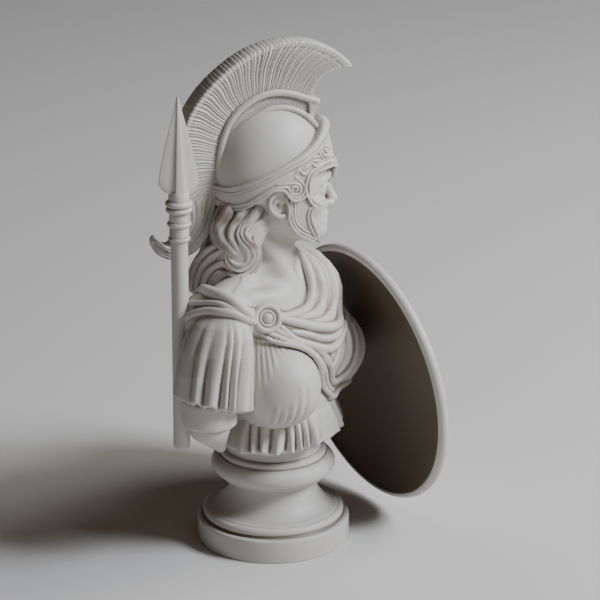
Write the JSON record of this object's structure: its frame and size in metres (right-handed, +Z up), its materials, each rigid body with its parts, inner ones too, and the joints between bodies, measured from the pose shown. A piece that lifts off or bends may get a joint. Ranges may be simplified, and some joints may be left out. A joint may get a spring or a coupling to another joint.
{
  "type": "helmeted bust statue",
  "caption": "Carved-look desk bust of a helmeted goddess on a round turned socle, with an upright spear behind one shoulder and a round shield at the other.",
  "frame": {"origin": "centre of the socle's round underside", "axes": "+Z up; the chest faces -Y, the figure's right side is -X, and the shield is on the +X side"},
  "size_m": [0.2078, 0.178, 0.3282],
  "materials": {
    "socle_stone": "matte off-white cast stone, finely rubbed, darker in the grooves",
    "bust_stone": "matte off-white cast stone with warm brown shading in the folds",
    "spear_stone": "matte off-white cast stone",
    "shield_stone": "matte off-white cast stone, smooth"
  },
  "bodies": {
    "root": {"socle": "socle_stone", "bust": "bust_stone", "spear": "spear_stone", "shield": "shield_stone"}
  },
  "joints": []
}
